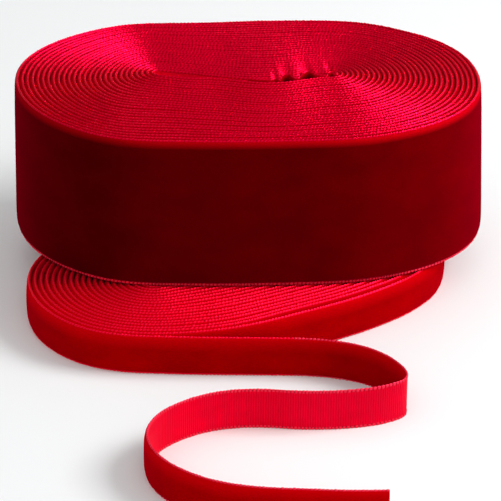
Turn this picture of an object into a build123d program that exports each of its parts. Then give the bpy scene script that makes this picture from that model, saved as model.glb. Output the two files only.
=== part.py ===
"""Two flat-wound rolls of velvet ribbon: a wide one standing on a narrow one.

Neither roll has a core. Each ribbon is a woven back with a velvet pile on its outer face and a
beaded selvedge along both edges. The narrow ribbon's free end peels off its roll and runs out
over the floor in two bends, in three spans that are hinged about upright axes.

Frame: millimetres, +Z up, origin on the floor under the middle of the wide roll, +X along the
wide roll's long axis, -Y towards the free end. Every ribbon stands on edge.
"""
from build123d import *
from math import atan2, cos, degrees, hypot, radians, sin, sqrt
import os

# Ribbon cross-section, seen from above: the path runs along the middle of the woven back,
# and the pile is on the right of the path, which is the outside of a roll.
WIDE_WIDTH = 38.0
NARROW_WIDTH = 10.0
BACK_THICK = 0.30
PILE_THICK = 0.62
SELVEDGE_WIDTH = 0.7
SELVEDGE_THICK = 0.5
PILE_MARGIN = 0.9  # from the ribbon's edge to the edge of the pile

# Wide roll: radii and distances are those of the ribbon's path.
WIDE_OUTER_RADIUS = 37.7
WIDE_INNER_RADIUS = 0.9
WIDE_HALF_TURNS = 54
WIDE_END_INNER = 21.2  # from the middle of the roll to the centre of its innermost bend
WIDE_END_OUTER = 19.1
WIDE_SEAM_SETBACK = 2.0  # how far the innermost turn sits behind the middle
WIDE_BULGE = 0.6
WIDE_CUT_ANGLE = 55.0  # where on its last bend the cut end is, in degrees from +X

# Narrow roll.
NARROW_OUTER_RADIUS = 30.35
NARROW_INNER_RADIUS = 1.9
NARROW_HALF_TURNS = 39
NARROW_END = 24.3
NARROW_BULGE = 5.5
NARROW_CENTRE = (-3.21, -20.71)
NARROW_ROTATION = 27.7
PEEL_HEADING = -6.0  # the way the free end leaves the roll, in degrees from +X

REST_GAP = 0.2  # between the two rolls
HINGE_GAP = 0.3  # from a hinge axis to the end of each span

# The free end, as (length, degrees turned to the left) of each stretch of ribbon.
SPAN_TO_RIGHT_BEND = [(31.8, 2), (17.5, -29), (13.5, -38), (3.5, -19)]
SPAN_TO_LEFT_BEND = [(4.5, -56), (8, -20), (12.5, -21), (7.5, -8), (12.5, 25), (15.5, 33), (14.5, 47)]
SPAN_TO_CUT_END = [(16.5, 42), (11, 20), (15, 22), (21.5, 3)]
# The crumpled inner end of the wide ribbon, walked inwards from the innermost bend.
INNER_END_CRUMPLE = [(2.4, 2), (2.0, -36), (3.0, 60), (3.0, -58), (3.0, 60), (2.4, -40), (6.0, 16)]


class Arc:
    """One stretch of a ribbon's path: an arc, anticlockwise when sweep is positive."""

    def __init__(self, centre, radius, start, sweep):
        self.centre = centre
        self.radius = radius
        self.start = start
        self.sweep = sweep

    def length(self):
        return self.radius * abs(radians(self.sweep))

    def point(self, share):
        angle = radians(self.start + share * self.sweep)
        x, y = self.centre
        return x + self.radius * cos(angle), y + self.radius * sin(angle)

    def reverse(self):
        return Arc(self.centre, self.radius, self.start + self.sweep, -self.sweep)

    def part(self, first, last):
        return Arc(self.centre, self.radius, self.start + first * self.sweep, (last - first) * self.sweep)

    def moved(self, angle, shift):
        x, y = self.centre
        turn = radians(angle)
        centre = (x * cos(turn) - y * sin(turn) + shift[0], x * sin(turn) + y * cos(turn) + shift[1])
        return Arc(centre, self.radius, self.start + angle, self.sweep)

    def edge(self, left):
        """The same arc shifted to the left of the path."""
        radius = self.radius - left if self.sweep > 0 else self.radius + left
        return CenterArc(self.centre, radius, self.start, self.sweep)

    def beside(self, share, left):
        radius = self.radius - left if self.sweep > 0 else self.radius + left
        return Arc(self.centre, radius, self.start, self.sweep).point(share)


def walk(start, heading, steps):
    """Tangent arcs from a point and a heading."""
    arcs = []
    for length, turn in steps:
        radius = length / abs(radians(turn))
        side = 1 if turn > 0 else -1
        across = radians(heading + 90 * side)
        centre = (start[0] + radius * cos(across), start[1] + radius * sin(across))
        arcs.append(Arc(centre, radius, heading - 90 * side, turn))
        start = arcs[-1].point(1)
        heading += turn
    return arcs


def trim(arcs, from_start, from_end):
    """The path without a short length at either end."""
    arcs = list(arcs)
    if from_start:
        arcs[0] = arcs[0].part(from_start / arcs[0].length(), 1)
    if from_end:
        arcs[-1] = arcs[-1].part(0, 1 - from_end / arcs[-1].length())
    return arcs


def side_centre(first, first_radius, second, second_radius, bulge):
    """Centre of the large arc that joins two bends from outside, standing proud by bulge."""
    dx = second[0] - first[0]
    dy = second[1] - first[1]
    apart = hypot(dx, dy)
    large = ((apart / 2) ** 2 + bulge**2) / (2 * bulge) + (first_radius + second_radius) / 2
    to_first = large - first_radius
    to_second = large - second_radius
    along = (apart**2 + to_first**2 - to_second**2) / (2 * apart)
    across = sqrt(to_first**2 - along**2)
    centre = (
        first[0] + (dx * along - dy * across) / apart,
        first[1] + (dy * along + dx * across) / apart,
    )
    return centre, large


def bearing(start, end):
    return degrees(atan2(end[1] - start[1], end[0] - start[0]))


def flat_spiral(inner_radius, outer_radius, half_turns, end_inner, end_outer, setback, bulge, stop):
    """A flattened spiral wound anticlockwise from inside: bends at both ends, joined by long sides.

    It stops on its last bend, at the angle stop.
    """
    bends = []
    for i in range(half_turns + 1):
        share = i / half_turns
        end = end_inner + (end_outer - end_inner) * share
        centre = (end if i % 2 == 0 else -end, setback * (1 - share))
        bends.append((centre, inner_radius + (outer_radius - inner_radius) * share))
    arcs = []
    arrive = -90.0
    for i in range(half_turns):
        centre, radius = bends[i]
        next_centre, next_radius = bends[i + 1]
        proud = bulge * (0.2 + 0.8 * i / half_turns)
        side, large = side_centre(centre, radius, next_centre, next_radius, proud)
        leave = bearing(side, centre)
        arcs.append(Arc(centre, radius, arrive, (leave - arrive) % 360))
        arrive = bearing(side, next_centre)
        arcs.append(Arc(side, large, leave, (arrive - leave) % 360))
    centre, radius = bends[-1]
    arcs.append(Arc(centre, radius, arrive, (stop - arrive) % 360))
    return arcs


def strip(arcs, left, right, low, high):
    """A solid band along the path, between two offsets to its left and two heights."""
    near = [arc.edge(left) for arc in arcs]
    far = [arc.edge(right) for arc in arcs]
    start_cap = Line(arcs[0].beside(0, left), arcs[0].beside(0, right))
    end_cap = Line(arcs[-1].beside(1, left), arcs[-1].beside(1, right))
    outline = Wire(near + [end_cap] + far[::-1] + [start_cap])
    return Pos(0, 0, low) * extrude(Face(outline), high - low, dir=(0, 0, 1))


def ribbon(arcs, floor, width):
    """The four layers of a ribbon that stands on edge."""
    top = floor + width
    back = BACK_THICK / 2
    bead = SELVEDGE_THICK / 2
    return {
        "woven_back": strip(arcs, back, -back, floor + SELVEDGE_WIDTH, top - SELVEDGE_WIDTH),
        "velvet_pile": strip(arcs, -back, -back - PILE_THICK, floor + PILE_MARGIN, top - PILE_MARGIN),
        "upper_selvedge": strip(arcs, bead, -bead, top - SELVEDGE_WIDTH, top),
        "lower_selvedge": strip(arcs, bead, -bead, floor, floor + SELVEDGE_WIDTH),
    }


def wide_path():
    """The wide ribbon from its crumpled inner end to its cut end behind the roll."""
    arcs = flat_spiral(
        WIDE_INNER_RADIUS, WIDE_OUTER_RADIUS, WIDE_HALF_TURNS,
        WIDE_END_INNER, WIDE_END_OUTER, WIDE_SEAM_SETBACK, WIDE_BULGE, WIDE_CUT_ANGLE,
    )
    inwards = walk(arcs[0].point(0), 180.0, INNER_END_CRUMPLE)
    return [arc.reverse() for arc in reversed(inwards)] + arcs


def narrow_path():
    """The narrow ribbon up to where its free end leaves the roll."""
    arcs = flat_spiral(
        NARROW_INNER_RADIUS, NARROW_OUTER_RADIUS, NARROW_HALF_TURNS,
        NARROW_END, NARROW_END, 0.0, NARROW_BULGE, PEEL_HEADING - 90 - NARROW_ROTATION,
    )
    return [arc.moved(NARROW_ROTATION, NARROW_CENTRE) for arc in arcs]


def free_end_spans(start):
    """The three spans of the free end, each from one hinge axis to the next."""
    heading = PEEL_HEADING
    spans = []
    for steps in (SPAN_TO_RIGHT_BEND, SPAN_TO_LEFT_BEND, SPAN_TO_CUT_END):
        arcs = walk(start, heading, steps)
        start = arcs[-1].point(1)
        heading += sum(turn for _, turn in steps)
        spans.append(arcs)
    return spans


def path_length(arcs):
    return sum(arc.length() for arc in arcs)


wide = wide_path()
narrow = narrow_path()
peel_span, return_span, cut_span = free_end_spans(narrow[-1].point(1))

nodes = {}
ribbons = [
    ("wide", wide, NARROW_WIDTH + REST_GAP, WIDE_WIDTH),
    ("narrow", trim(narrow, 0, HINGE_GAP), 0.0, NARROW_WIDTH),
    ("peel_span", trim(peel_span, HINGE_GAP, HINGE_GAP), 0.0, NARROW_WIDTH),
    ("return_span", trim(return_span, HINGE_GAP, HINGE_GAP), 0.0, NARROW_WIDTH),
    ("cut_span", trim(cut_span, HINGE_GAP, 0), 0.0, NARROW_WIDTH),
]
for name, arcs, floor, width in ribbons:
    for layer, solid in ribbon(arcs, floor, width).items():
        nodes[f"{name}_{layer}"] = solid

os.makedirs("parts", exist_ok=True)
for name, solid in nodes.items():
    solid.label = name
    export_step(solid, f"parts/{name}.step")

print("wide ribbon length", round(path_length(wide), 1))
print("narrow ribbon length", round(path_length(narrow + peel_span + return_span + cut_span), 1))
for name, arcs in (("peel", peel_span), ("right bend", return_span), ("left bend", cut_span)):
    print("hinge", name, [round(v, 3) for v in arcs[0].point(0)])
print("cut end", [round(v, 3) for v in cut_span[-1].point(1)])
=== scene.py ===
"""Looks of two flat-wound rolls of red velvet ribbon, the wide one standing on the narrow one.

Each ribbon stands on edge along a path of tangent arcs, the same path that the CAD parts follow.
Its four layers are swept along that path: a ribbed woven back, a crowned velvet pile, and a beaded
selvedge along each edge. Lengths are in millimetres until a mesh is made, and then in metres.
"""
import math

import bpy
import numpy as np
from mathutils import Matrix, Vector


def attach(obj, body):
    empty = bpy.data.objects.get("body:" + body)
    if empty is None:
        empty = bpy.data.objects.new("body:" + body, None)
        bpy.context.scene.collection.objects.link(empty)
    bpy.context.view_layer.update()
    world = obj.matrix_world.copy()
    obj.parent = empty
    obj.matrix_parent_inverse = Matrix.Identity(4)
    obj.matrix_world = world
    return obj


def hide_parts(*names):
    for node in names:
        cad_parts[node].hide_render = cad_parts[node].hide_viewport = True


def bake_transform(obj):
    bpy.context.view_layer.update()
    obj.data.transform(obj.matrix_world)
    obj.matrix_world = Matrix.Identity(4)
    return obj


MM = 0.001

# The ribbons, as the CAD parts have them.
WIDE_WIDTH = 38.0
NARROW_WIDTH = 10.0
BACK_THICK = 0.30
PILE_THICK = 0.62
SELVEDGE_WIDTH = 0.7
SELVEDGE_THICK = 0.5
REST_GAP = 0.2  # between the two rolls

# The pile. Its margins are smaller than the CAD parts', because its tips splay over the selvedges.
PILE_UPPER_MARGIN = 0.3
WIDE_LOWER_MARGIN = 0.8
NARROW_LOWER_MARGIN = 0.45
WIDE_CROWN = 6.0  # the higher, the squarer the pile's cross-section
NARROW_CROWN = 2.6
PILE_IN_ROLL = 0.88  # thickness inside a roll, where the pile springs out to meet the next turn
OUTER_TURN = 290.0  # the length of a roll's outermost turn, whose pile is free
PILE_POINTS = 17  # round its cross-section

WIDE_OUTER_RADIUS = 37.7
WIDE_INNER_RADIUS = 0.9
WIDE_HALF_TURNS = 54
WIDE_END_INNER = 21.2
WIDE_END_OUTER = 19.1
WIDE_SEAM_SETBACK = 2.0
WIDE_BULGE = 0.6
WIDE_CUT_ANGLE = 55.0

NARROW_OUTER_RADIUS = 30.35
NARROW_INNER_RADIUS = 1.9
NARROW_HALF_TURNS = 39
NARROW_END = 24.3
NARROW_BULGE = 5.5
NARROW_CENTRE = (-3.21, -20.71)
NARROW_ROTATION = 27.7
PEEL_HEADING = -6.0

SPAN_TO_RIGHT_BEND = [(31.8, 2), (17.5, -29), (13.5, -38), (3.5, -19)]
SPAN_TO_LEFT_BEND = [(4.5, -56), (8, -20), (12.5, -21), (7.5, -8), (12.5, 25), (15.5, 33), (14.5, 47)]
SPAN_TO_CUT_END = [(16.5, 42), (11, 20), (15, 22), (21.5, 3)]
INNER_END_CRUMPLE = [(2.4, 2), (2.0, -36), (3.0, 60), (3.0, -58), (3.0, 60), (2.4, -40), (6.0, 16)]

# The weave.
BEAD_PITCH = 0.86  # between the loops of weft yarn along an edge
BEAD_DEPTH = 0.26  # how far a loop narrows at its ends, as a share of its size
OPEN_BEAD_DEPTH = 0.45  # the same where nothing presses on the loops
BEAD_VARIETY = 0.14
WOUND_LOOPS = 0.62  # how far the loops stand out across a wound ribbon
LOOP_SLANT = 0.7  # how far they lean along it
RIB_PITCH = 0.57
RIB_DEPTH = 0.07
RIB_STATIONS = 4  # in each rib
BACK_ROWS = 4  # points up the inner face of a wound ribbon's back
OPEN_BACK_ROWS = 9

# How finely a path is divided.
SAGITTA = 0.03  # how far a step may cut inside its arc
LONGEST_STEP = 3.0
CRUMPLED_LENGTH = 380.0  # of the wide ribbon's inner turns, which bend round its crumpled end
CRUMPLED_STEP = 0.5  # the longest step there
EASE_LENGTH = 20.0  # over which a change along a ribbon comes in

# How the free end is divided: each piece spans one hinge.
ROLL_SHARE = 9.0  # length of the roll's last turn that belongs to the first piece

TUCK_LENGTH = 45.0  # over which the wide ribbon's cut end closes down on the turn below
TUCK_DEPTH = 0.4
TUCK_DROP = 0.5

# Unevenness left by hand winding.
SETTLING_LENGTH = 80.0  # over which the roll's uneven edge comes down to the level free end
EDGE_WANDER = 0.06  # of a ribbon's edges, up and down
MEAN_LIFT = 1.2  # of the lower edge, as a share of its wander
WIDE_DRIFT = 0.25  # of the turns, in plan
NARROW_DRIFT = 0.2
BEAD_DRIFT = 0.6  # of the loops, along an edge

# Folds of the crumpled inner end: where along X, half width, and how far the turns behind give way.
FOLDS = [(6.5, 0.6, 1.0), (9.35, 1.25, 2.3), (14.4, 1.5, 2.3), (16.2, 2.4, 0.5), (20.5, 0.7, 1.8)]
FOLDS_BEHIND = 0.6  # where along Y the turns that give way begin
FOLDS_FADE = 3.2  # how soon the folds die out behind

# The seam in the middle of the wide roll: where along X, half width, how far, and how abruptly.
SLITS = [(-17, 6, 0.5, 4), (-4, 7, -0.6, 4)]  # the turns on its two sides part, or close up
SLITS_FADE = 10.0
SWAYS = [(-24, 9, 3.6, 2), (4.5, 10.5, -3.2, 2.5)]  # all the turns shift along Y
WIDE_HALF_DEPTH = 38.0  # where the sways have died out
WIDE_HALF_LENGTH = 56.0
FLARE = 1.5  # how far the lower edge stands out at the right-hand end

# The narrow roll, on its own axes: where, half width, how far and how abruptly.
FRONT_PRESSED = (-2, 14, 1.3, 2)  # the front pushed in, by distance along the roll
TURNS_BEHIND = (4, 23, 1.0, 4)  # the inner turns stand back from the last one, likewise
BEND_FILLED = (78, 24, 1.2, 2)  # the right bend pushed out, by degrees round it
FRONT_REACH = 34.0  # the distance from the middle at which the front is fully pushed in
BEND_REACH = 31.0

SEED = 7


# ---------------------------------------------------------------- paths


class Arc:
    """One stretch of a path: an arc in degrees, anticlockwise when sweep is positive."""

    def __init__(self, centre, radius, start, sweep):
        self.centre = centre
        self.radius = radius
        self.start = start
        self.sweep = sweep

    def length(self):
        return self.radius * abs(math.radians(self.sweep))

    def point(self, share):
        angle = math.radians(self.start + share * self.sweep)
        x, y = self.centre
        return x + self.radius * math.cos(angle), y + self.radius * math.sin(angle)

    def reverse(self):
        return Arc(self.centre, self.radius, self.start + self.sweep, -self.sweep)

    def moved(self, angle, shift):
        x, y = self.centre
        turn = math.radians(angle)
        centre = (
            x * math.cos(turn) - y * math.sin(turn) + shift[0],
            x * math.sin(turn) + y * math.cos(turn) + shift[1],
        )
        return Arc(centre, self.radius, self.start + angle, self.sweep)


def walk(start, heading, steps):
    """Tangent arcs from a point and a heading, each step a length and a turn to the left."""
    arcs = []
    for length, turn in steps:
        radius = length / abs(math.radians(turn))
        side = 1 if turn > 0 else -1
        across = math.radians(heading + 90 * side)
        centre = (start[0] + radius * math.cos(across), start[1] + radius * math.sin(across))
        arcs.append(Arc(centre, radius, heading - 90 * side, turn))
        start = arcs[-1].point(1)
        heading += turn
    return arcs


def side_centre(first, first_radius, second, second_radius, bulge):
    """Centre and radius of the large arc that joins two bends, standing proud by bulge."""
    dx = second[0] - first[0]
    dy = second[1] - first[1]
    apart = math.hypot(dx, dy)
    large = ((apart / 2) ** 2 + bulge**2) / (2 * bulge) + (first_radius + second_radius) / 2
    to_first = large - first_radius
    to_second = large - second_radius
    along = (apart**2 + to_first**2 - to_second**2) / (2 * apart)
    across = math.sqrt(to_first**2 - along**2)
    centre = (
        first[0] + (dx * along - dy * across) / apart,
        first[1] + (dy * along + dx * across) / apart,
    )
    return centre, large


def bearing(start, end):
    return math.degrees(math.atan2(end[1] - start[1], end[0] - start[0]))


def flat_spiral(inner_radius, outer_radius, half_turns, end_inner, end_outer, setback, bulge, stop):
    """A flattened spiral wound anticlockwise from inside, as in the CAD source."""
    bends = []
    for i in range(half_turns + 1):
        share = i / half_turns
        end = end_inner + (end_outer - end_inner) * share
        centre = (end if i % 2 == 0 else -end, setback * (1 - share))
        bends.append((centre, inner_radius + (outer_radius - inner_radius) * share))
    arcs = []
    arrive = -90.0
    for i in range(half_turns):
        centre, radius = bends[i]
        next_centre, next_radius = bends[i + 1]
        proud = bulge * (0.2 + 0.8 * i / half_turns)
        side, large = side_centre(centre, radius, next_centre, next_radius, proud)
        leave = bearing(side, centre)
        arcs.append(Arc(centre, radius, arrive, (leave - arrive) % 360))
        arrive = bearing(side, next_centre)
        arcs.append(Arc(side, large, leave, (arrive - leave) % 360))
    centre, radius = bends[-1]
    arcs.append(Arc(centre, radius, arrive, (stop - arrive) % 360))
    return arcs


def wide_arcs():
    arcs = flat_spiral(
        WIDE_INNER_RADIUS, WIDE_OUTER_RADIUS, WIDE_HALF_TURNS,
        WIDE_END_INNER, WIDE_END_OUTER, WIDE_SEAM_SETBACK, WIDE_BULGE, WIDE_CUT_ANGLE,
    )
    inwards = walk(arcs[0].point(0), 180.0, INNER_END_CRUMPLE)
    return [arc.reverse() for arc in reversed(inwards)] + arcs


def narrow_arcs():
    arcs = flat_spiral(
        NARROW_INNER_RADIUS, NARROW_OUTER_RADIUS, NARROW_HALF_TURNS,
        NARROW_END, NARROW_END, 0.0, NARROW_BULGE, PEEL_HEADING - 90 - NARROW_ROTATION,
    )
    return [arc.moved(NARROW_ROTATION, NARROW_CENTRE) for arc in arcs]


class Route:
    """A path of tangent arcs that can be read at any distance along it."""

    def __init__(self, arcs, crumpled=0.0):
        self.crumpled = crumpled
        self.centres = np.array([arc.centre for arc in arcs])
        self.radii = np.array([arc.radius for arc in arcs])
        self.starts = np.array([arc.start for arc in arcs])
        self.sweeps = np.array([arc.sweep for arc in arcs])
        self.lengths = np.array([arc.length() for arc in arcs])
        self.ends = np.cumsum(self.lengths)
        self.length = self.ends[-1]

    def at(self, distances):
        """Points, and unit vectors to the left of the path, at these distances."""
        arc = np.minimum(np.searchsorted(self.ends, distances), len(self.ends) - 1)
        share = (distances - self.ends[arc]) / self.lengths[arc] + 1
        angle = np.radians(self.starts[arc] + share * self.sweeps[arc])
        outward = np.stack([np.cos(angle), np.sin(angle)], 1)
        points = self.centres[arc] + self.radii[arc][:, None] * outward
        return points, -outward * np.sign(self.sweeps[arc])[:, None]

    def stations(self, first, last):
        """Distances from first to last, close enough together to keep the arcs round."""
        found = [np.array([first])]
        for end, length, radius in zip(self.ends, self.lengths, self.radii):
            begin = max(end - length, first)
            finish = min(end, last)
            if finish - begin < 1e-6:
                continue
            longest = CRUMPLED_STEP if begin < self.crumpled else LONGEST_STEP
            step = min(longest, 2 * radius * math.acos(max(0.0, 1 - SAGITTA / radius)))
            count = math.ceil((finish - begin) / step)
            found.append(np.linspace(begin, finish, count + 1)[1:])
        return np.concatenate(found)


def even(first, last, pitch, per_pitch):
    """Evenly spaced distances, a whole number of pitches from first to last."""
    pitches = max(1, round((last - first) / pitch))
    return np.linspace(first, last, pitches * per_pitch + 1)


# ---------------------------------------------------------------- unevenness


class Waves:
    """A smooth wandering value: a few sine waves with seeded lengths and phases."""

    def __init__(self, random, height, shortest, longest, count=5):
        self.lengths = random.uniform(shortest, longest, count)
        self.phases = random.uniform(0, 2 * math.pi, count)
        self.height = height / math.sqrt(count)

    def at(self, distances):
        turns = distances[..., None] / self.lengths * 2 * math.pi + self.phases
        return self.height * np.sin(turns).sum(-1)


class Unevenness:
    """What hand winding leaves: edges that wander up and down, and turns that lie a little unevenly."""

    def __init__(self, seed, edge, drift, settled=None):
        random = np.random.default_rng(seed)
        self.settled = settled
        self.edge = Waves(random, edge, 45, 190, 7)
        self.along_x = Waves(random, drift, 26, 70)
        self.along_y = Waves(random, drift, 26, 70)
        self.bead = Waves(random, BEAD_DRIFT, 18, 60)
        self.base = edge

    def lift(self, distances):
        """Height of the lower edge, which comes down to nothing where the ribbon lies settled."""
        lift = np.maximum(0, self.base * MEAN_LIFT + self.edge.at(distances))
        if self.settled is not None:
            lift = lift * np.clip((self.settled - distances) / SETTLING_LENGTH, 0, 1)
        return lift

    def shift(self, xyz):
        x = xyz[..., 0] + self.along_x.at(xyz[..., 0] * 0.6 + xyz[..., 1])
        y = xyz[..., 1] + self.along_y.at(xyz[..., 0] - xyz[..., 1] * 0.4)
        return np.stack([x, y, xyz[..., 2]], -1)


# ---------------------------------------------------------------- meshes


def make_mesh(name, grid, along, across, fullness):
    """A closed band from a grid of points, stations by the points of one cross-section.

    fullness, from 0 to 1 at each station, is kept for the materials, which paint shade into the hollows
    with it.
    """
    stations, around = grid.shape[:2]
    corner = np.arange(stations * around).reshape(stations, around)
    beyond = np.roll(corner, -1, axis=1)
    quads = np.stack([corner[:-1], beyond[:-1], beyond[1:], corner[1:]], -1).reshape(-1, 4)
    faces = quads.tolist() + [corner[0][::-1].tolist(), corner[-1].tolist()]

    mesh = bpy.data.meshes.new(name)
    mesh.from_pydata((grid.reshape(-1, 3) * MM).tolist(), [], faces)
    u = np.broadcast_to(along[:, None], (stations, around))
    v = np.broadcast_to(across[:-1], (stations, around))
    v_beyond = np.broadcast_to(across[1:], (stations, around))
    wall = np.stack([
        np.stack([u[:-1], v[:-1]], -1),
        np.stack([u[:-1], v_beyond[:-1]], -1),
        np.stack([u[1:], v_beyond[1:]], -1),
        np.stack([u[1:], v[1:]], -1),
    ], 2).reshape(-1, 2)
    start_cap = np.stack([u[0], v[0]], -1)[::-1]
    end_cap = np.stack([u[-1], v[-1]], -1)
    layer = mesh.uv_layers.new(name="ribbon")
    layer.data.foreach_set("uv", (np.concatenate([wall, start_cap, end_cap]) * MM).ravel())
    attribute = mesh.attributes.new("fullness", "FLOAT", "POINT")
    attribute.data.foreach_set("value", np.repeat(fullness, around).astype(np.float32))
    mesh.shade_smooth()
    mesh.set_sharp_from_angle(angle=math.radians(60))
    mesh.update()
    piece = bpy.data.objects.new(name, mesh)
    bpy.context.scene.collection.objects.link(piece)
    return piece


def perimeter(loop):
    """Distance round a cross-section at each of its points, and back at the first."""
    steps = np.linalg.norm(np.roll(loop, -1, axis=0) - loop, axis=1)
    return np.concatenate([[0], np.cumsum(steps)])


class Ribbon:
    """A ribbon on edge along a route, with its lower edge at a height above the floor."""

    def __init__(self, route, floor, width, crown, uneven, outer_start, lower_margin, form=None, tuck=0.0):
        self.route = route
        self.floor = floor
        self.width = width
        self.crown = crown
        self.uneven = uneven
        self.form = form
        self.tuck = tuck
        self.outer_start = outer_start
        self.lower_margin = lower_margin

    def sweep(self, name, distances, loop, scale=None, centre=(0, 0), fullness=None, slant=0.0):
        """Carries a cross-section, as offsets to the left and heights, along the route."""
        points, left = self.route.at(distances)
        close = np.clip((distances - self.route.length) / TUCK_LENGTH + 1, 0, 1)
        points = points + left * (self.tuck * close * close * (3 - 2 * close))[:, None]
        section = np.broadcast_to(loop, (len(distances), *loop.shape))
        if scale is not None:
            section = centre + (section - centre) * scale
        ahead = np.stack([left[:, 1], -left[:, 0]], -1)
        lean = left + ahead * slant
        xy = points[:, None, :] + lean[:, None, :] * section[..., :1]
        drop = self.tuck * TUCK_DROP / TUCK_DEPTH * close * close
        z = self.floor + section[..., 1] + (self.uneven.lift(distances) - drop)[:, None]
        grid = np.concatenate([xy, z[..., None]], -1)
        if self.form:
            grid = self.form(grid, distances)
        grid = self.uneven.shift(grid)
        if fullness is None:
            fullness = np.ones(len(distances))
        return make_mesh(name, grid, distances, perimeter(loop), fullness)

    def woven_back(self, name, first, last, rows, ribbed):
        half = BACK_THICK / 2
        heights = np.linspace(SELVEDGE_WIDTH, self.width - SELVEDGE_WIDTH, rows)
        inner = [(half, height) for height in heights]
        outer = [(-half, heights[-1]), (-half, heights[0])]
        loop = np.array(outer + inner)
        if not ribbed:
            return self.sweep(name, self.route.stations(first, last), loop)
        distances = even(first, last, RIB_PITCH, RIB_STATIONS)
        phase = 2 * math.pi * np.arange(len(distances)) / RIB_STATIONS
        swell = 1 + RIB_DEPTH / half * (np.cos(phase) - 1) / 2
        scale = np.stack([swell, np.ones_like(swell)], -1)[:, None, :]
        return self.sweep(name, distances, loop, scale, fullness=(np.cos(phase) + 1) / 2)

    def velvet_pile(self, name, first, last, points):
        """The pile leans out from the back and is full in the middle of the ribbon."""
        half = BACK_THICK / 2
        reach = (self.width - PILE_UPPER_MARGIN - self.lower_margin) / 2
        middle = self.lower_margin + reach
        angles = np.linspace(-90, 90, points)
        loop = []
        for angle in np.radians(angles):
            across = math.copysign(abs(math.sin(angle)) ** (2 / self.crown), math.sin(angle))
            out = math.cos(angle) ** (2 / self.crown)
            loop.append((-half - PILE_THICK * out, middle + reach * across))
        distances = self.route.stations(first, last)
        free = np.clip((distances - self.outer_start) / EASE_LENGTH, 0, 1)
        thick = PILE_IN_ROLL / PILE_THICK + (1 - PILE_IN_ROLL / PILE_THICK) * free
        scale = np.stack([thick, np.ones_like(thick)], -1)[:, None, :]
        return self.sweep(name, distances, np.array(loop[::-1]), scale, np.array([-half, 0]))

    def selvedge(self, name, first, last, upper, fine):
        """A row of weft loops round the edge warp, each narrower where it meets the next."""
        middle = self.width - SELVEDGE_WIDTH / 2 if upper else SELVEDGE_WIDTH / 2
        outward = 1 if upper else -1
        across = (SELVEDGE_THICK if fine else WOUND_LOOPS) / 2
        reach = SELVEDGE_WIDTH / 2
        loop = [(0, 1.0), (-1.0, 0.4), (-0.9, -1.0), (0.9, -1.0), (1.0, 0.4)]
        if fine:
            loop = [(0, 1.0), (-0.6, 0.85), (-1.0, 0.4), (-1.0, -0.4), (-0.9, -1.0),
                    (0.9, -1.0), (1.0, -0.4), (1.0, 0.4), (0.6, 0.85)]
        loop = np.array([(x * across, middle + outward * y * reach) for x, y in loop[::outward]])
        depth = BEAD_DEPTH if upper and not fine else OPEN_BEAD_DEPTH

        beads = max(1, round((last - first) / BEAD_PITCH))
        pitch = (last - first) / beads
        # Stations in each loop: fewest under the inner turns, where they are out of sight.
        number = np.full(beads, 6 if fine else 3 if self.width == WIDE_WIDTH else 4)
        if not upper and not fine:
            number[:] = 2
            number[first + np.arange(beads) * pitch > self.outer_start] = 5
        begun = np.repeat(np.cumsum(number) - number, number)
        within = (np.arange(len(begun)) - begun) / np.repeat(number, number)
        phase = np.append(np.repeat(np.arange(beads), number) + within, beads)

        steady = first + phase * pitch
        ends = np.minimum(steady - first, last - steady)
        distances = steady + self.uneven.bead.at(steady) * np.clip(ends / EASE_LENGTH, 0, 1)
        bulge = np.sin(math.pi * (phase % 1)) ** 0.6
        random = np.random.default_rng(SEED + beads)
        sizes = random.uniform(1 - BEAD_VARIETY, 1 + BEAD_VARIETY, beads + 1)
        size = 1 + (sizes[phase.astype(int)] - 1) * bulge
        scale = ((1 - depth + depth * bulge) * size)[:, None, None]
        slant = 0.0 if fine else LOOP_SLANT
        return self.sweep(name, distances, loop, scale, np.array([0, middle]), bulge, slant)


# ---------------------------------------------------------------- materials


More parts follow.
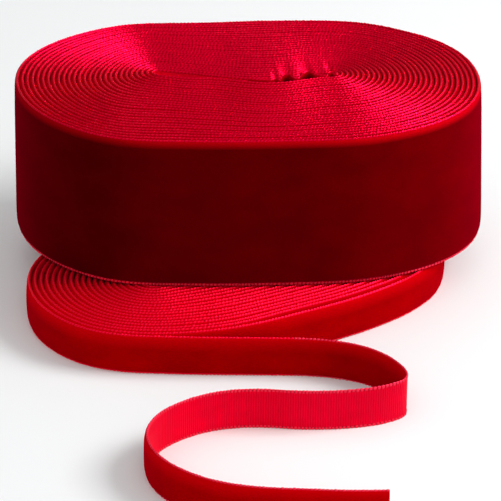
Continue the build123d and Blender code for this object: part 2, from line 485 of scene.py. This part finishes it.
class Nodes:
    """Short names for making a material's nodes and links."""

    def __init__(self, name):
        self.material = bpy.data.materials.new(name)
        self.material.use_nodes = True
        self.tree = self.material.node_tree
        self.shader = self.tree.nodes["Principled BSDF"]
        uv = self.add("ShaderNodeUVMap")
        uv.uv_map = "ribbon"
        self.uv = uv.outputs[0]

    def add(self, kind, **values):
        node = self.tree.nodes.new(kind)
        for name, value in values.items():
            setattr(node, name, value)
        return node

    def link(self, output, target):
        self.tree.links.new(output, target)

    def set(self, **values):
        for name, value in values.items():
            self.shader.inputs[name.replace("_", " ")].default_value = value

    def scaled(self, along, across):
        """The ribbon's own coordinates, stretched to this many repeats a metre."""
        mapping = self.add("ShaderNodeMapping")
        mapping.inputs["Scale"].default_value = (along, across, 1)
        self.link(self.uv, mapping.inputs["Vector"])
        return mapping.outputs[0]

    def noise(self, along, across, detail=3.0, roughness=0.55):
        texture = self.add("ShaderNodeTexNoise", noise_dimensions="2D")
        texture.inputs["Scale"].default_value = 1.0
        texture.inputs["Detail"].default_value = detail
        texture.inputs["Roughness"].default_value = roughness
        self.link(self.scaled(along, across), texture.inputs["Vector"])
        return texture.outputs[0]

    def wave(self, along, across, distortion=0.6):
        """Parallel ridges, this many a metre in one direction."""
        texture = self.add("ShaderNodeTexWave", bands_direction="X" if along else "Y")
        texture.inputs["Scale"].default_value = 2 * math.pi / 20  # one ridge a unit
        texture.inputs["Distortion"].default_value = distortion
        texture.inputs["Detail Scale"].default_value = 2.0
        self.link(self.scaled(along or across, across or along), texture.inputs["Vector"])
        return texture.outputs["Fac"]

    def mixed(self, factor, first, second):
        mix = self.add("ShaderNodeMix", data_type="RGBA")
        self.link(factor, mix.inputs["Factor"])
        mix.inputs["A"].default_value = (*first, 1)
        mix.inputs["B"].default_value = (*second, 1)
        return mix.outputs["Result"]

    def ranged(self, value, low, high, to_low, to_high):
        node = self.add("ShaderNodeMapRange")
        self.link(value, node.inputs["Value"])
        limits = {"From Min": low, "From Max": high, "To Min": to_low, "To Max": to_high}
        for name, number in limits.items():
            node.inputs[name].default_value = number
        return node.outputs[0]

    def scaled_by(self, first, second):
        node = self.add("ShaderNodeMath", operation="MULTIPLY")
        self.link(first, node.inputs[0])
        self.link(second, node.inputs[1])
        return node.outputs[0]

    def bump(self, height, distance, strength, after=None):
        node = self.add("ShaderNodeBump")
        node.inputs["Distance"].default_value = distance
        node.inputs["Strength"].default_value = strength
        self.link(height, node.inputs["Height"])
        if after is not None:
            self.link(after, node.inputs["Normal"])
        return node.outputs[0]


def velvet(name, dark, light, edge, reach, sheen):
    """Cut pile: matt and deep, with a red sheen at a slant, and a lighter band along its upper edge, a
    painted highlight of light from above on the rounded top.
    """
    m = Nodes(name)
    lay = m.noise(70, 110, 2.0)
    tips = m.noise(5200, 5200, 2.0)
    body = m.mixed(m.ranged(lay, 0.3, 0.7, 0, 1), dark, light)
    across = m.add("ShaderNodeSeparateXYZ")
    m.link(m.uv, across.inputs[0])
    # Painted highlight: the pile is mixed towards a lighter red near its upper edge, where light from
    # above would catch it.
    painted_top_highlight = m.ranged(across.outputs["Y"], 0.0003, reach * MM, 1, 0)
    painted_top_highlight = m.scaled_by(painted_top_highlight, m.ranged(tips, 0.2, 0.6, 0.7, 1.0))
    mix = m.add("ShaderNodeMix", data_type="RGBA")
    m.link(painted_top_highlight, mix.inputs["Factor"])
    m.link(body, mix.inputs["A"])
    mix.inputs["B"].default_value = (*edge, 1)
    m.link(mix.outputs["Result"], m.shader.inputs["Base Color"])
    m.link(m.ranged(tips, 0.3, 0.7, 0.85, 1.0), m.shader.inputs["Roughness"])
    m.link(m.bump(tips, 0.00012, 0.5), m.shader.inputs["Normal"])
    m.set(Specular_IOR_Level=0.0, Sheen_Weight=sheen, Sheen_Roughness=0.5, Sheen_Tint=(1.0, 0.0, 0.04, 1))
    return m.material


def woven_back():
    m = Nodes("woven_back")
    ribs = m.wave(1000 / RIB_PITCH, 0)
    weft = m.wave(0, 2400, 0.3)
    wear = m.noise(80, 200, 3.0)
    full = m.add("ShaderNodeAttribute", attribute_name="fullness")
    # Painted shade: the grooves between ribs are darker than their crests, with random wear on top.
    rib_shade_and_wear = m.scaled_by(m.ranged(full.outputs["Fac"], 0, 1, 0.25, 1), m.ranged(wear, 0.3, 0.7, 0.7, 1))
    colour = m.mixed(rib_shade_and_wear, (0.6, 0.0, 0.008), (0.97, 0.0, 0.034))
    m.link(colour, m.shader.inputs["Base Color"])
    first = m.bump(ribs, 0.00008, 0.7)
    m.link(m.bump(weft, 0.00003, 0.5, first), m.shader.inputs["Normal"])
    m.set(
        Roughness=0.5, Specular_IOR_Level=0.05, Specular_Tint=(1.0, 0.1, 0.3, 1),
        Sheen_Weight=0.1, Sheen_Roughness=0.4, Sheen_Tint=(1.0, 0.0, 0.2, 1),
    )
    return m.material


def selvedge(name, shaded_valley, crest, metal):
    """Glossy yarn in loops, darker where they meet: painted shade in the hollows between loops. The
    metallic share keeps its glints red.
    """
    m = Nodes(name)
    fibres = m.noise(9000, 2500, 2.0)
    full = m.add("ShaderNodeAttribute", attribute_name="fullness")
    lit = m.ranged(full.outputs["Fac"], 0.0, 0.9, 0, 1)
    # Painted shade: the loops grow darker towards the hollows where they meet.
    painted_loop_shading = m.scaled_by(lit, m.ranged(fibres, 0.3, 0.7, 0.85, 1))
    m.link(m.mixed(painted_loop_shading, shaded_valley, crest), m.shader.inputs["Base Color"])
    m.link(m.bump(fibres, 0.00006, 0.5), m.shader.inputs["Normal"])
    m.set(Roughness=0.36, Metallic=metal, Specular_IOR_Level=0.05, Specular_Tint=(1.0, 0.0, 0.15, 1))
    return m.material


# ---------------------------------------------------------------- pieces


# The materials of the four layers.
WIDE_FINISHES = ("woven_back", "wide_velvet", "wide_selvedge", "open_selvedge")
NARROW_FINISHES = ("woven_back", "narrow_velvet", "brightened_narrow_selvedge", "brightened_narrow_selvedge")
OPEN_FINISHES = ("woven_back", "narrow_velvet", "open_selvedge", "open_selvedge")


def layers(ribbon, name, first, last, fine, finishes):
    """The four layers of one length of ribbon. fine is for the free end, which is seen flat on."""
    rows = OPEN_BACK_ROWS if fine else BACK_ROWS
    pieces = {
        "woven_back": ribbon.woven_back(f"{name}_woven_back", first, last, rows, fine),
        "velvet_pile": ribbon.velvet_pile(f"{name}_velvet_pile", first, last, PILE_POINTS),
        "upper_selvedge": ribbon.selvedge(f"{name}_upper_selvedge", first, last, True, fine),
        "lower_selvedge": ribbon.selvedge(f"{name}_lower_selvedge", first, last, False, fine),
    }
    for (layer, piece), finish in zip(pieces.items(), finishes):
        piece.data.materials.append(MATERIALS[finish])
    return pieces


def hill(value, middle, reach, height, power):
    """A smooth rise of this height round the middle, steeper-sided the higher the power."""
    return height * np.exp(-np.abs((value - middle) / reach) ** power)


def wide_form(grid, distances):
    """Crumples the turns behind the inner end, bends the seam, and flares the lower edge at the right."""
    x, y, z = grid[..., 0], grid[..., 1], grid[..., 2]
    folds = sum(hill(x, middle, reach, depth, 4) for middle, reach, depth in FOLDS)
    inner_end = distances < sum(length for length, _ in INNER_END_CRUMPLE)
    behind = np.maximum(0.5 + 0.5 * np.tanh((y - FOLDS_BEHIND) / 0.15), inner_end[:, None])
    beside = y - WIDE_SEAM_SETBACK
    slit = sum(hill(x, *slit) for slit in SLITS)
    slit = slit * np.tanh(beside / 0.6) * np.exp(-np.abs(beside) / SLITS_FADE)
    y = y + folds * behind * np.exp(-np.maximum(beside, 0) / FOLDS_FADE) + slit
    sway = sum(hill(x, *sway) for sway in SWAYS)
    y = y + sway * np.clip(1 - (y / WIDE_HALF_DEPTH) ** 2, 0, 1)
    height = np.clip((z - NARROW_WIDTH) / WIDE_WIDTH, 0, 1)
    x = x + FLARE * np.clip(x / WIDE_HALF_LENGTH, 0, 1) ** 2 * (1 - height)
    return np.stack([x, y, z], -1)


def narrow_form(last_turn):
    """Flattens the front of the roll, fills out its right bend, and lets the last turn stand off."""
    turn = math.radians(NARROW_ROTATION)
    along = np.array([math.cos(turn), math.sin(turn)])
    front = np.array([math.sin(turn), -math.cos(turn)])
    middle = np.array(NARROW_CENTRE)

    def form(grid, distances):
        outer = np.clip((distances - last_turn) / EASE_LENGTH + 0.5, 0, 1)[:, None]
        wound = (distances < last_turn + OUTER_TURN)[:, None]
        xy = grid[..., :2] - middle
        t = xy @ along
        s = xy @ front
        pressed = hill(t, *FRONT_PRESSED) + hill(t, *TURNS_BEHIND) * (1 - outer)
        pressed = pressed * np.clip(s / FRONT_REACH, 0, 1) ** 3 * wound
        bend = np.stack([t - NARROW_END, s], -1)
        radius = np.maximum(np.linalg.norm(bend, axis=-1), 1.0)
        angle = np.degrees(np.arctan2(bend[..., 1], bend[..., 0]))
        bulged = hill(angle, *BEND_FILLED) * np.clip(radius / BEND_REACH, 0, 1) ** 3 / radius * wound
        moved = np.stack([bend[..., 0] * bulged, bend[..., 1] * bulged - pressed], -1)
        xy = grid[..., :2] + moved[..., :1] * along + moved[..., 1:] * front
        return np.concatenate([xy, grid[..., 2:]], -1)

    return form


def make_wide_roll():
    route = Route(wide_arcs(), CRUMPLED_LENGTH)
    uneven = Unevenness(SEED, EDGE_WANDER, WIDE_DRIFT)
    ribbon = Ribbon(
        route, NARROW_WIDTH + REST_GAP, WIDE_WIDTH, WIDE_CROWN, uneven,
        route.length - OUTER_TURN, WIDE_LOWER_MARGIN, wide_form, TUCK_DEPTH,
    )
    pieces = layers(ribbon, "wide", 0, route.length, False, WIDE_FINISHES)
    for layer, piece in pieces.items():
        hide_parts(f"wide_{layer}")
        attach(piece, "wide_roll")
    return pieces


def make_narrow_ribbon():
    arcs = narrow_arcs()
    hinges = [sum(arc.length() for arc in arcs)]
    headings = [PEEL_HEADING]
    for steps in (SPAN_TO_RIGHT_BEND, SPAN_TO_LEFT_BEND, SPAN_TO_CUT_END):
        arcs += walk(arcs[-1].point(1), headings[-1], steps)
        hinges.append(hinges[-1] + sum(length for length, _ in steps))
        headings.append(headings[-1] + sum(turn for _, turn in steps))
    route = Route(arcs)
    uneven = Unevenness(SEED + 1, EDGE_WANDER, NARROW_DRIFT, settled=hinges[0] - EASE_LENGTH)
    last_turn = hinges[0] - OUTER_TURN
    ribbon = Ribbon(
        route, 0.0, NARROW_WIDTH, NARROW_CROWN, uneven,
        last_turn, NARROW_LOWER_MARGIN, narrow_form(last_turn),
    )

    cuts = [0, hinges[0] - ROLL_SHARE, (hinges[0] + hinges[1]) / 2, (hinges[1] + hinges[2]) / 2, hinges[3]]
    pieces = layers(ribbon, "narrow", cuts[0], cuts[1], False, NARROW_FINISHES)
    for layer, piece in pieces.items():
        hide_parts(f"narrow_{layer}")
        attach(piece, "narrow_roll")

    for i, (name, before, after, finishes) in enumerate((
        ("peel_span", "narrow_roll", "peel_span", NARROW_FINISHES),
        ("return_span", "peel_span", "return_span", OPEN_FINISHES),
        ("cut_span", "return_span", "cut_span", OPEN_FINISHES),
    )):
        pieces = layers(ribbon, name, cuts[i + 1], cuts[i + 2], True, finishes)
        for layer, piece in pieces.items():
            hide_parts(f"{name}_{layer}")
            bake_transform(piece)


# ---------------------------------------------------------------- studio

CAMERA_PLACE = (-78.87, -785.71, 378.63)
CAMERA_TURN = -5.833  # about the vertical, from looking along +Y
CAMERA_PITCH = -25.532
CAMERA_ROLL = 0.881
CAMERA_LENS = 251.5

PALE = 0.93  # what the camera sees beyond the floor
AMBIENT = 0.57  # the even light from all round
FLOOR_HALF = 4.0  # metres
LIGHT_TARGET = (0, -0.03, 0.03)  # the middle of the object, in metres


def make_camera():
    camera = bpy.data.objects.new("camera", bpy.data.cameras.new("camera"))
    bpy.context.scene.collection.objects.link(camera)
    camera.data.lens = CAMERA_LENS
    camera.data.sensor_width = 36
    camera.data.clip_end = 20
    turn = Matrix.Rotation(math.radians(CAMERA_TURN), 4, "Z")
    pitch = Matrix.Rotation(math.radians(90 + CAMERA_PITCH), 4, "X")
    roll = Matrix.Rotation(math.radians(CAMERA_ROLL), 4, "Z")
    camera.matrix_world = Matrix.Translation(Vector(CAMERA_PLACE) * MM) @ turn @ pitch @ roll
    bpy.context.scene.camera = camera


def make_floor():
    mesh = bpy.data.meshes.new("floor")
    corners = [(-1, -1), (1, -1), (1, 1), (-1, 1)]
    mesh.from_pydata([(x * FLOOR_HALF, y * FLOOR_HALF, 0) for x, y in corners], [], [(0, 1, 2, 3)])
    floor = bpy.data.objects.new("floor", mesh)
    bpy.context.scene.collection.objects.link(floor)
    material = bpy.data.materials.new("floor")
    material.use_nodes = True
    shader = material.node_tree.nodes["Principled BSDF"]
    shader.inputs["Base Color"].default_value = (0.935, 0.95, 0.955, 1)
    shader.inputs["Roughness"].default_value = 0.9
    shader.inputs["Specular IOR Level"].default_value = 0.1
    mesh.materials.append(material)


def area_light(name, place, size, energy):
    """A soft square light that points at the middle of the object."""
    light = bpy.data.lights.new(name, "AREA")
    light.size = size
    light.energy = energy
    lamp = bpy.data.objects.new(name, light)
    bpy.context.scene.collection.objects.link(lamp)
    lamp.location = place
    towards = Vector(LIGHT_TARGET) - Vector(place)
    lamp.rotation_euler = towards.to_track_quat("-Z", "Y").to_euler()
    lamp.visible_camera = False
    return lamp


def make_world():
    """An even soft light, which the camera sees as a plain pale tone."""
    world = bpy.data.worlds.new("world")
    bpy.context.scene.world = world
    world.use_nodes = True
    tree = world.node_tree
    light = tree.nodes["Background"]
    light.inputs["Color"].default_value = (1, 1, 1, 1)
    light.inputs["Strength"].default_value = AMBIENT
    seen = tree.nodes.new("ShaderNodeBackground")
    seen.inputs["Color"].default_value = (PALE, PALE, PALE, 1)
    rays = tree.nodes.new("ShaderNodeLightPath")
    mix = tree.nodes.new("ShaderNodeMixShader")
    tree.links.new(rays.outputs["Is Camera Ray"], mix.inputs[0])
    tree.links.new(light.outputs[0], mix.inputs[1])
    tree.links.new(seen.outputs[0], mix.inputs[2])
    tree.links.new(mix.outputs[0], tree.nodes["World Output"].inputs["Surface"])


def receive_alone(lamp, piece):
    """Keeps a light to one piece, so that it brightens nothing else."""
    lit = bpy.data.collections.new(f"lit_by_{lamp.name}")
    lit.objects.link(piece)
    lamp.light_linking.receiver_collection = lit


def make_studio(wide_roll):
    """The camera, the floor and the lights. Two lights reach one piece of the wide roll each."""
    bpy.context.scene.view_settings.view_transform = "Standard"
    make_camera()
    make_floor()
    make_world()
    area_light("key", (0.55, -0.1, 0.5), 0.36, 3.9)
    rake = area_light("rake", (0.35, -0.22, 0.03), 0.12, 2.8)
    receive_alone(rake, wide_roll["velvet_pile"])
    area_light("fill", (-0.15, -1.25, 0.95), 1.1, 3.0)
    glint = area_light("glint", (0.84, 0.0, 0.66), 0.3, 15.0)
    glint.visible_diffuse = False
    back = area_light("back", (-0.02, 0.17, 0.16), 0.12, 0.3)
    back.visible_glossy = False
    receive_alone(back, wide_roll["upper_selvedge"])


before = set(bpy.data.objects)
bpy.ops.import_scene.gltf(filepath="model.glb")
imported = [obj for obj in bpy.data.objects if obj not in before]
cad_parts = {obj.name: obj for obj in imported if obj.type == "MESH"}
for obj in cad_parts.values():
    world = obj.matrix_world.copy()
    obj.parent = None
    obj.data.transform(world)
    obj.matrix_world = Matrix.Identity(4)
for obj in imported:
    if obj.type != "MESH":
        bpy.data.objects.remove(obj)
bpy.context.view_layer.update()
MATERIALS = {
    # Each velvet's third colour is a painted highlight along its upper edge, over the given millimetres.
    "wide_velvet": velvet(
        "wide_velvet", (0.048, 0.0, 0.0), (0.062, 0.0, 0.0), (0.33, 0.0, 0.002), 2.2, 0.26,
    ),
    "narrow_velvet": velvet(
        "narrow_velvet", (0.3, 0.0, 0.0), (0.38, 0.0, 0.0), (0.6, 0.0, 0.002), 3.6, 0.28,
    ),
    "woven_back": woven_back(),
    "wide_selvedge": selvedge("wide_selvedge", (0.4, 0.0, 0.006), (0.7, 0.0, 0.028), 0.4),
    # Painted light: the same yarn as the wide roll's, made brighter to make up for the shade of the wide
    # roll above it.
    "brightened_narrow_selvedge": selvedge("brightened_narrow_selvedge", (0.65, 0.0, 0.01), (1.0, 0.004, 0.035), 0.4),
    # Painted highlight and shade: the open loops' crests are pale pink like glints, and their hollows are
    # dark.
    "open_selvedge": selvedge("open_selvedge", (0.3, 0.0, 0.004), (1.0, 0.03, 0.08), 0.3),
}
wide_roll = make_wide_roll()
make_studio(wide_roll)
make_narrow_ribbon()
